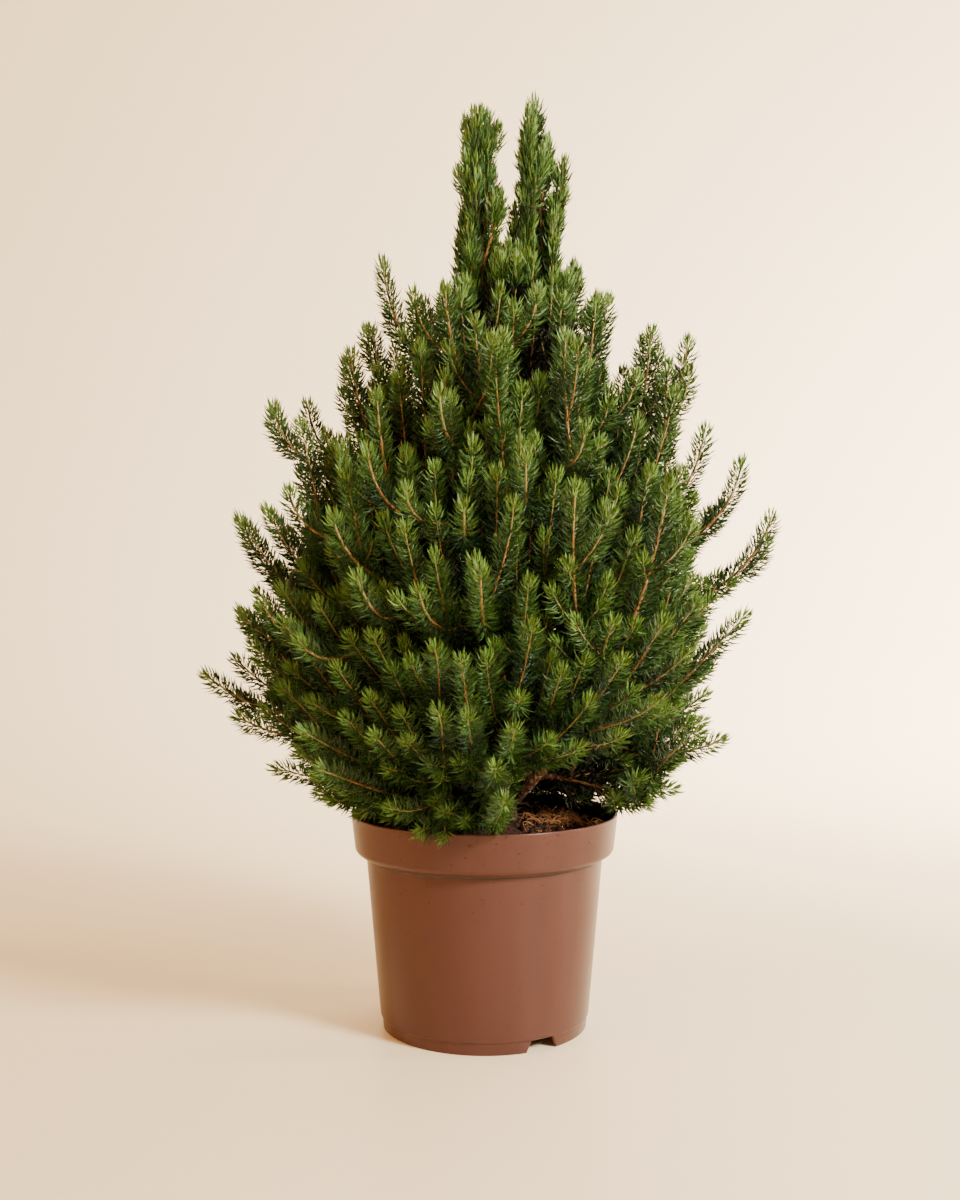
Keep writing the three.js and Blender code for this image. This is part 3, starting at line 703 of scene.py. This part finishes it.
stems = Stems()
trunk_top = np.array(TRUNK_TIP) + [0, 0, CLEAR]
upright = np.array([0.0, 0, 1])
left_line = Line(trunk_top, upright, np.array(LEFT_TOP, float), upright)
right_line = Line(trunk_point(LEADER_FORK), heading(10, 66), np.array(RIGHT_TOP, float), heading(180, 87))
boughs = [
    grow_leads("left_leader", 0, left_line, LEFT_LEADER_TIPS, True, stems),
    grow_leads("right_leader", LEADER_LIMB, right_line, RIGHT_LEADER_TIPS, True, stems),
]
for i, (name, limb, first, *forks) in enumerate(BOUGHS):
    foot = SOIL_TOP + FIRST_FOOT + FOOT_SPREAD * i / (len(BOUGHS) - 1)
    azimuth, reach, tip_height = first
    start, end = trunk_point(foot), polar(*first)
    away = degrees(atan2(end[1] - start[1], end[0] - start[0]))
    climb = degrees(atan2(tip_height - foot, reach))
    line, _ = clear_line(start, away, max(8, climb - 16), first, name, stems)
    if tip_height < INNER_BELOW:
        turn = INNER_TURN if i % 2 else -INNER_TURN
        forks.append([azimuth + turn, reach * INNER_REACH, lerp(tip_height, LEFT_TOP[2], INNER_RISE)])
    boughs.append(grow_leads(name, limb, line, forks, False, stems))

for i, bough in enumerate(boughs):
    random = stream(101 + 7 * i)
    gap, lengths, angle = (
        (TOP_GAP, TOP_LENGTH, TOP_ANGLE) if bough["top"] else (SHOOT_GAP, SHOOT_LENGTH, SHOOT_ANGLE)
    )
    for lead in bough["leads"]:
        stretch = lead.length * (1 - lead.needles_from)
        count = int(stretch / gap + 0.5)
        for k in range(count):
            share = lerp(lead.needles_from, 0.88, (k + 0.3 + 0.4 * next(random)) / count)
            roll = k * 2.4 + next(random) * 0.9
            length = lerp(*lengths, next(random)) * (1.1 - 0.5 * share)
            shoot = Stem(bough["name"], side_line(lead.line, share, roll, length, angle), 0, 0.22, 1)
            low = (shoot.points[:, 2] < POT_HEIGHT + 9) & (
                np.linalg.norm(shoot.points[:, :2], axis=1) < RIM_RADIUS + 9
            )
            if low.any() or room_around([shoot.line], bough["name"], stems)[0] < OWN_SPACE:
                continue
            bough["shoots"].append(shoot)
            stems.add(bough["name"], shoot.points)

# ---------------------------------------------------------------- finer shoots and twigs
# The rule goes on. Shoots grow into every gap of the crown, each drawn out along the way that growth takes
# at its place, and every lead and shoot carries short twigs, so only its last stretch is a single brush.

# The crown at each height: its reach between the tips that stand out of it, and its middle, which leans
# towards the right leader. The leaders' columns are given in the same way.
CROWN = [
    (148, 110, 4),
    (160, 120, 4),
    (177, 134, 4),
    (198, 152, 4),
    (216, 162, 4),
    (245, 166, 4),
    (288, 158, 4),
    (331, 155, 4),
    (396, 130, 6),
    (446, 104, 9),
    (496, 68, 17),
    (525, 42, 21),
    (545, 16, 23),
    (560, 8, 24),
    (568, 0.5, 24),
    (670, 0.5, 24),
]
LEFT_COLUMN = [(470, 10, -4), (500, 17, -4), (560, 13, -4), (610, 9.5, -4), (635, 7, -4), (652, 3, -4)]
RIGHT_COLUMN = [(470, 10, 38), (560, 13, 41), (612, 9.5, 39), (640, 8, 37), (655, 7, 35), (666, 3, 35)]
GAP_ROOM = [15.5, 19]  # the room that makes a gap, at the crown's reach and on the trunk
LEADER_ROOM = 5  # and on the leaders
SKIRT_ROOM = 9  # over the rim, where the foliage closes up
TIPS_WITHIN = [(-202, -168, 150), (206, 156, 655)]  # no new tip reaches past the whole plant's size
GAP_SAMPLES = 30000
GAP_REACH = [56, 128]  # how far a shoot grows into a gap
TRAIL_STEP = 8
ROOT_REACH = 46  # how near its way a shoot has to find wood to start from
STAND_OUT = 60  # the most that a tip stands out of the crown
SKIRT_TOPS = [172, 192]  # the heights up to which it is the skirt, in front and behind
TWIG_GAP = 22
SINGLE_TIP = [56, 16]  # the last stretch of a stem that has no twigs, and on the leaders
TWIG_SHARE = [0.24, 0.42]  # of the distance to the stem's tip
TWIG_LENGTH = [10, 34]
SHOOT_TWIG_LENGTH = 24  # the longest on a shoot
LEADER_TWIG_LENGTH = 15
TWIG_ANGLE = radians(44)
LEADERS = 520  # above this height twigs are short and hug their stem
BARE_HEIGHTS = [522, 592]  # between these the leaders' stems show in front
BARE_STEMS = [(0, -1.5), (40.5, 3)]  # the middle and the front of each of them
GOLDEN_TURN = 2.39996


def column_share(places, column):
    heights, reaches, middles = zip(*column)
    out = np.hypot(places[..., 0] - np.interp(places[..., 2], heights, middles), places[..., 1])
    return out / np.interp(places[..., 2], heights, reaches)


def crown_share(places):
    """How far out places are: 0 in the middle and 1 at the reach of the crown or of a leader."""
    return np.minimum.reduce([column_share(places, c) for c in (CROWN, LEFT_COLUMN, RIGHT_COLUMN)])


def growth_at(place):
    """The direction that shoots take at a place: outwards at the skirt, upwards above and inside."""
    share = min(1, float(column_share(place, CROWN)))
    rise = 88 if place[2] > 500 else lerp(88, rise_at(place[2]) * 0.95, min(1, 0.2 + 0.8 * share))
    rise -= max(0, (182 - place[2]) * 0.6) * share
    return heading(degrees(atan2(place[1], place[0] - 4)), rise)


def over_pot(points, margin):
    """Whether any of these points is in the pot or its compost, or this near to them."""
    reach = np.linalg.norm(points[..., :2], axis=-1)
    floor = np.where(reach < RIM_RADIUS - 4, SOIL_TOP + 1, POT_HEIGHT)
    return (points[..., 2] < floor + margin) & (reach < RIM_RADIUS + margin)


def in_window(places):
    """The opening at the front right, low down, through which a bough and the compost show."""
    x, y, height = places[..., 0], places[..., 1], places[..., 2]
    top = np.interp(x, [12, 24, 42, 70, 88], [164, 186, 197, 190, 166])
    return (x > 12) & (x < 88) & (y < 24) & (height < top)


def on_bare_stem(places):
    """The strips in front of the leaders, low down, where their stems show between the needles."""
    x, y, height = places[..., 0], places[..., 1], places[..., 2]
    strips = [(np.abs(x - middle) < 5) & (y < front) for middle, front in BARE_STEMS]
    return np.logical_or(*strips) & (height > BARE_HEIGHTS[0]) & (height < BARE_HEIGHTS[1])


def gap_samples(random, count):
    """Places spread through the crown, each with the room that makes it a gap."""
    x, y = random.uniform(-175, 175, (2, count))
    height = random.uniform(147, 655, count)
    slim = count // 8
    x[:slim], y[:slim] = random.uniform(-25, 60, slim), random.uniform(-24, 24, slim)
    height[:slim] = random.uniform(490, 655, slim)
    places = np.column_stack([x, y, height])
    share = crown_share(places)
    inside = (share < 0.94) & ((share > 0.12) | (height > 500))
    keep = inside & ~in_window(places) & ~on_bare_stem(places) & ~over_pot(places, 6)
    needed = lerp(GAP_ROOM[1], GAP_ROOM[0], np.clip(share * 1.6, 0, 1))
    needed[height > LEADERS] = LEADER_ROOM
    needed[(height < SKIRT_TOPS[0]) | ((height < SKIRT_TOPS[1]) & (y > 24))] = SKIRT_ROOM
    return places[keep], needed[keep]


def nodes_of(stem, owner):
    """Places on a stem where a shoot can leave it, with the stem's direction there and its bough."""
    shares = np.arange(0.08, 0.86, 5 / stem.length)
    places = stem.line.point(shares)
    ahead = units(stem.line.point(shares + 0.01) - stem.line.point(shares - 0.01))
    return places, ahead, np.full(len(shares), owner)


def trail_behind(tip):
    """Places behind a tip, against the growth, out to the longest shoot."""
    trail = [tip]
    while len(trail) * TRAIL_STEP <= GAP_REACH[1]:
        trail.append(trail[-1] - growth_at(trail[-1]) * TRAIL_STEP)
    shortest = GAP_REACH[0] if tip[2] > 190 else GAP_REACH[0] / 2
    return np.array(trail[int(shortest / TRAIL_STEP) :])


def grow_into_gaps(boughs, random):
    """A shoot into the widest gap of the crown, from wood that lies behind it, until no gap is left."""
    samples, needed = gap_samples(random, GAP_SAMPLES)
    room = np.concatenate([stems.room(part, None) for part in np.array_split(samples, 60)])
    found = [nodes_of(stem, i) for i, bough in enumerate(boughs) for stem in bough["leads"] + bough["shoots"]]
    roots, aheads, owners = (np.concatenate(column) for column in zip(*found))
    while True:
        widest = int(np.argmax(room - needed))
        if room[widest] <= needed[widest]:
            return
        tip, room[widest] = samples[widest], 0
        arrive = growth_at(tip)
        trail = trail_behind(tip)
        apart = np.linalg.norm(roots[:, None] - trail, axis=2) + 0.1 * TRAIL_STEP * np.arange(len(trail))
        cost = apart.min(axis=1) + 12 * (1 - aheads @ arrive)
        root = int(np.argmin(cost))
        if cost[root] > ROOT_REACH:
            continue
        start = roots[root]
        most = min(STAND_OUT, tip[2] - SOIL_TOP)
        beyond = random.uniform(0, 8) if tip[2] > LEADERS else most * random.uniform() ** 3
        end = np.clip(tip + arrive * beyond, *TIPS_WITHIN)
        set_off = unit(aheads[root] * 0.3 + growth_at(start) * 0.3 + unit(end - start))
        bough = boughs[owners[root]]
        shoot = Stem(bough["name"], Line(start, set_off, end, arrive), 0, 0.06, 1)
        if (over_pot(shoot.points, 3) | in_window(shoot.points) | on_bare_stem(shoot.points)).any():
            continue
        bough["shoots"].append(shoot)
        for low, high in zip(shoot.points, shoot.points[1:]):
            span = high - low
            share = np.clip((samples - low) @ span / (span @ span), 0, 1)
            room = np.minimum(room, np.linalg.norm(samples - low - share[:, None] * span, axis=1))
        more = nodes_of(shoot, owners[root])
        roots = np.concatenate([roots, more[0]])
        aheads = np.concatenate([aheads, more[1]])
        owners = np.concatenate([owners, more[2]])


def grow_twigs(stem, random, gap, longest):
    """Short twigs along a stem, about a gap apart and none in its last stretch."""
    twigs = []
    start = max(stem.start, stem.needles_from * 0.7) * stem.length
    along, k = start + gap * next(random), 0
    while True:
        left = stem.length - along
        hugging = stem.line.point(along / stem.length)[2] > LEADERS
        if left < SINGLE_TIP[hugging]:
            return twigs
        length = min(longest, max(TWIG_LENGTH[0], left * lerp(*TWIG_SHARE, next(random))))
        length, angle = (min(length, LEADER_TWIG_LENGTH), TWIG_ANGLE / 2) if hugging else (length, TWIG_ANGLE)
        roll = k * GOLDEN_TURN + next(random) * 1.2
        line = side_line(stem.line, along / stem.length, roll, length, angle, 0.8)
        ends = line.point(np.array([0.5, 1]))
        shut = over_pot(ends, 3) | on_bare_stem(ends) | (in_window(ends) & (stem.order > 0))
        if not shut.any():
            twigs.append(Stem(stem.owner, line, 0, 0.1, stem.order + 1))
        along += gap * lerp(0.7, 1.3, next(random)) * (0.5 if hugging else 1)
        k += 1


grow_into_gaps(boughs, np.random.default_rng(77))
sprays = []
for i, bough in enumerate(boughs):
    random = stream(9001 + 17 * i)
    for lead in bough["leads"]:
        sprays += [lead, *grow_twigs(lead, random, TWIG_GAP, TWIG_LENGTH[1])]
    for shoot in bough["shoots"]:
        sprays += [shoot, *grow_twigs(shoot, random, TWIG_GAP, SHOOT_TWIG_LENGTH)]

mass_nodes = [bough["name"] + "_foliage" for bough in boughs]

# ---------------------------------------------------------------- trunk and limbs
# The stem of a young spruce and its main boughs: thin scaly bark, grey-brown and rough at the foot, redder
# and smoother up the limbs, drawn as relief in the mesh.

TRUNK_RADIUS = [8, 2.4]
TRUNK_FLARE = 4.5
FLARE_HEIGHT = 9
TRUNK_SIDES, TRUNK_RELIEF = 22, 0.5
LIMB_SIDES, LIMB_RELIEF = 12, 0.32
LIMB_TIP, LIMB_TAPER = 1.25, 0.0112  # a limb's radius: that at its tip, and more with the way left

wood_bm = bmesh.new()
turn_layer = wood_bm.verts.layers.float.new("turn")


def add_limb(places, radii, sides, relief):
    """A tapering round limb: a circle, extruded from place to place, with scales of bark in relief."""
    first, second = across_of(units(np.gradient(places, axis=0)))
    ring = bmesh.ops.create_circle(wood_bm, cap_ends=True, radius=1, segments=sides)["verts"]
    for v in ring:
        v[turn_layer] = atan2(v.co.y, v.co.x)
    edges = list({e for v in ring for e in v.link_edges})
    for i, place in enumerate(places):
        if i:
            made = bmesh.ops.extrude_edge_only(wood_bm, edges=edges)["geom"]
            ring = [g for g in made if isinstance(g, bmesh.types.BMVert)]
            edges = list({e for v in ring for e in v.link_edges if e.is_boundary})
        for v in ring:
            out = Vector(first[i] * cos(v[turn_layer]) + second[i] * sin(v[turn_layer]))
            spot = Vector(place) + out * radii[i]
            scales = noise.fractal(Vector((spot.x, spot.y, spot.z * 0.55)) * 0.42, 0.8, 2.2, 4)
            knots = noise.noise(Vector((spot.x, spot.y, spot.z)) * 0.09)
            v.co = (Vector(place) + out * (radii[i] + relief * scales + relief * knots)) * MM
    bmesh.ops.holes_fill(wood_bm, edges=edges)


def trunk_radius(height):
    rise = height - SOIL_TOP - CLEAR
    share = rise / (TRUNK_TIP[2] - SOIL_TOP - CLEAR)
    return lerp(*TRUNK_RADIUS, share**0.8) + TRUNK_FLARE * np.exp(-rise / FLARE_HEIGHT)


trunk_heights = np.concatenate([[SOIL_TOP + CLEAR], np.linspace(147, TRUNK_TIP[2], 130)])
trunk_line = np.array([trunk_point(h) for h in trunk_heights])
add_limb(trunk_line, [trunk_radius(h) for h in trunk_heights], TRUNK_SIDES, TRUNK_RELIEF)
for bough in boughs:
    if not bough["limb"]:
        continue
    line, limb = bough["line"], bough["limb"]
    # A little of the limb runs on under the first needles, so no step shows where they start.
    shares = np.linspace(0.012, limb + 0.05, max(8, int(line.length * limb / 3)))
    thickness = LIMB_TIP + LIMB_TAPER * line.length * (1 - shares)
    add_limb(line.point(shares), thickness, LIMB_SIDES, LIMB_RELIEF)
bmesh.ops.recalc_face_normals(wood_bm, faces=wood_bm.faces)

bark = Finish("spruce_bark_scaly", Roughness=0.88, Specular_IOR_Level=0.25)
# Scales of 2 to 4 mm, longer up the stem than round it, with dark gaps between them.
scales = bark.pattern(420, 5, 0.6, stretch=0.45)
browns = bark.ramp(scales, (0.34, linear("#2c1c13")), (0.52, linear("#6a432b")))
# The foot is darker for some 30 mm above the compost, most at the bottom.
foot_darkening = bark.mapped(bark.height(), 0.148, 0.182, 0.8, 0)
bark.set("Base Color", bark.mix(foot_darkening, browns, linear("#1a120c")))
bark.bump(scales, 0.6, 0.0008)
wood_piece = new_piece("trunk_and_limbs", mesh_of(wood_bm, "trunk_and_limbs"), bark)
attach(wood_piece, "root")
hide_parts("trunk", *[b["name"] + "_bough" for b in boughs if b["limb"]])

# ---------------------------------------------------------------- young wood
# Stems of the last few years: smooth and ridged, orange-tan near their tips and browner where they are
# older, each running on from the wood that carries it.

NEW_STRETCH = 26  # the length from a tip that is this year's, still buff and green
YOUNG_STRETCH = 90  # and the length that is still tan
STEM_STEP = 7
BUD_RADIUS = 0.25
LEAD_WOOD, LEADER_WOOD, SHOOT_WOOD = [0.66, 0.0068], [0.66, 0.0115], [0.48, 0.0055]


def stem_wood_radius(stem, left):
    """A stem's radius, this far from its tip. The leaders are the stoutest."""
    lead_wood = LEADER_WOOD if stem.owner.endswith("leader") else LEAD_WOOD
    at_tip, taper = SHOOT_WOOD if stem.order else lead_wood
    return at_tip + taper * left


new, young, old = [], [], []
for stem in sprays:
    bare = (1 - stem.start) * stem.length
    ends = [0, max(0, bare - YOUNG_STRETCH), max(0, bare - NEW_STRETCH), bare]
    sides = 5 if stem.order == 0 else 3
    for wood, low, high in zip([old, young, new], ends, ends[1:]):
        if high - low < 1:
            continue
        steps = max(3, int((high - low) / STEM_STEP) + 1)
        past = np.linspace(low, high, steps)
        places = stem.line.point(np.clip(stem.start + past / stem.length, 0, 1))
        radii = stem_wood_radius(stem, bare - past)
        if wood is new:
            radii[-1] = BUD_RADIUS
        wood.append(tube(places, radii, sides))


def stem_finish(name, dark, light):
    """Young bark, whose ridges and leaf bases change its shade every 3 mm or so."""
    finish = Finish(name, Roughness=0.62, Specular_IOR_Level=0.35)
    ridges = finish.pattern(330, 3)
    finish.set("Base Color", finish.mix(ridges, linear(dark), linear(light)))
    finish.bump(ridges, 0.4, 0.0005)
    return finish


for name, parts, look in [
    ("new_stems", new, ("spruce_bark_new_buff", "#6c6534", "#9d8a52")),
    ("young_stems", young, ("spruce_bark_young_tan", "#63411f", "#a67a46")),
    ("older_stems", old, ("spruce_bark_older_brown", "#33200f", "#6b4529")),
]:
    piece = new_piece(name, array_mesh(name, *joined(parts)), stem_finish(*look))
    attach(piece, "root")
    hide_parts(*mass_nodes)

# ---------------------------------------------------------------- needles
# Spruce needles, four-angled, about 11 mm long and under 1 mm thick, set singly all round the stem on tiny
# pegs. Their waxy skin is blue-green with age and fresh yellow-green at the tips. They are drawn a little
# longer and thicker than that, and fewer, so that each one shows.

NEEDLES_PER_MM = [1.0, 3.3]  # inside the crown and at its reach
NEEDLE_LENGTH = 12
NEEDLE_RADIUS = 0.66  # at its thickest, from its middle line to a corner
NEEDLE_LEAN = radians(68)  # from the stem, and less at its tip and on the leaders
NEEDLE_BEND = radians(20)
TUFT = 11  # the length of a stem's tip where the needles close up round the bud
YOUNG_TIP = 22  # and where they are paler
TONE_SHARES = [0.35, 0.8]  # the share of the sprays that is blue, and up to which they are mid
TONES = {
    # The first tone is painted shade: a near-black for the needles deep inside the crown, below the leaders.
    "needles_painted_shade": ("spruce_needle_shaded", "#070c04", "#0f1808"),
    "needles_blue": ("spruce_needle_bloomed", "#132a13", "#264620"),
    "needles_mid": ("spruce_needle_mature", "#172d11", "#2e4c1d"),
    "needles_light": ("spruce_needle_second_year", "#26431a", "#426327"),
    "needles_fresh": ("spruce_needle_new_tip", "#3f6225", "#688839"),
}
needle_random = np.random.default_rng(2024)
roots, outs, alongs, lefts, tones = [], [], [], [], []
for stem in sprays:
    first = max(stem.start, stem.needles_from * (0.55 if stem.order == 0 else 1)) * stem.length
    tip = stem.line.point(1)
    on_leader = tip[2] > LEADERS
    outside = 1 if on_leader else float(np.clip(crown_share(tip) * 2.2 - 0.7, 0, 1))
    count = int((stem.length - first) * lerp(*NEEDLES_PER_MM, outside))
    if count < 4:
        continue
    past = (stem.length - first) * (np.arange(count) + needle_random.uniform(0, 1, count)) / count
    share = (first + past) / stem.length
    places = stem.line.point(share)
    near, far = np.maximum(share - 0.01, 0), np.minimum(share + 0.01, 1)
    ahead = units(stem.line.point(far) - stem.line.point(near))
    level, second = across_of(ahead)
    turn = np.arange(count) * GOLDEN_TURN + needle_random.normal(0, 0.25, count)
    out = level * np.cos(turn)[:, None] + second * np.sin(turn)[:, None]
    left = (1 - share) * stem.length
    roots.append(places + out * (stem_wood_radius(stem, left) * 0.8)[:, None])
    outs.append(out)
    alongs.append(ahead)
    lefts.append(left)
    outness = crown_share(places)
    pick = needle_random.uniform() + TONE_SHARES[0] * on_leader
    tone = np.full(count, 1 if pick < TONE_SHARES[0] else 2 if pick < TONE_SHARES[1] else 3)
    # Painted shade: needles deep inside the crown, below the leaders, take the near-black first tone.
    tone[(outness < 0.68) & (places[:, 2] < LEADERS)] = 0
    tone[(left < YOUNG_TIP) & (outness > 0.55)] = 3
    tone[(left < TUFT * 0.7) & (outness > 0.6) & (stem.order < 2 or on_leader)] = 4
    tones.append(tone)
roots, outs, alongs = np.concatenate(roots), np.concatenate(outs), np.concatenate(alongs)
lefts, tones = np.concatenate(lefts), np.concatenate(tones)
free = ~over_pot(roots + outs * 7 + alongs * 6, 0.5)
# On the strips of bare stem two needles in three have dropped.
free &= ~on_bare_stem(roots + outs * 4) | (needle_random.uniform(0, 1, len(roots)) < 0.35)
roots, outs, alongs, lefts, tones = (column[free] for column in (roots, outs, alongs, lefts, tones))


def needle_mesh(name, root, out, along, left):
    """Needles of four faces, folded along a ridge, that bend forward and close up round the bud at a tip."""
    count = len(root)
    closing = np.clip(left / TUFT, 0, 1)[:, None]
    upright = np.clip((root[:, 2:] - 500) / 60, 0, 1)
    lean = NEEDLE_LEAN * (0.42 + 0.58 * closing) * (1 - 0.35 * upright)
    lean = lean + needle_random.normal(0, 0.16, (count, 1))
    size = NEEDLE_LENGTH * (0.72 + 0.28 * closing) * needle_random.uniform(0.8, 1.12, (count, 1))
    early = along * np.cos(lean) + out * np.sin(lean)
    late = along * np.cos(lean - NEEDLE_BEND) + out * np.sin(lean - NEEDLE_BEND) + np.array([0, 0, 0.16])
    middle = root + early * size * 0.45
    point = middle + units(late) * size * 0.55
    first, second = across_of(units(point - root))
    turns = needle_random.uniform(0, 2 * pi, (count, 1))
    ring = [
        middle
        + (first * np.cos(turns + k * 2 * pi / 3) + second * np.sin(turns + k * 2 * pi / 3)) * NEEDLE_RADIUS
        for k in range(3)
    ]
    places = np.stack([root, *ring, point], axis=1).reshape(-1, 3)
    faces = np.array([[0, 2, 1], [0, 3, 2], [4, 1, 2], [4, 2, 3]])
    faces = (faces[None] + 5 * np.arange(count)[:, None, None]).reshape(-1, 3)
    return array_mesh(name, places, faces)


def needle_finish(name, dark, light):
    """Waxy needle skin: a soft gloss over two close greens that change from spray to spray."""
    finish = Finish(name, Roughness=0.42, Specular_IOR_Level=0.35)
    finish.set("Base Color", finish.mix(finish.pattern(65, 4), linear(dark), linear(light)))
    return finish


PIECE_LIMIT = 48000  # needles in one piece
for tone, (name, look) in enumerate(TONES.items()):
    finish = needle_finish(*look)
    members = np.flatnonzero(tones == tone)
    for part, chosen in enumerate(np.array_split(members, max(1, -(-len(members) // PIECE_LIMIT)))):
        label = f"{name}_{part + 1}"
        mesh = needle_mesh(label, roots[chosen], outs[chosen], alongs[chosen], lefts[chosen])
        piece = new_piece(label, mesh, finish)
        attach(piece, "root")
        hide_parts(*mass_nodes)
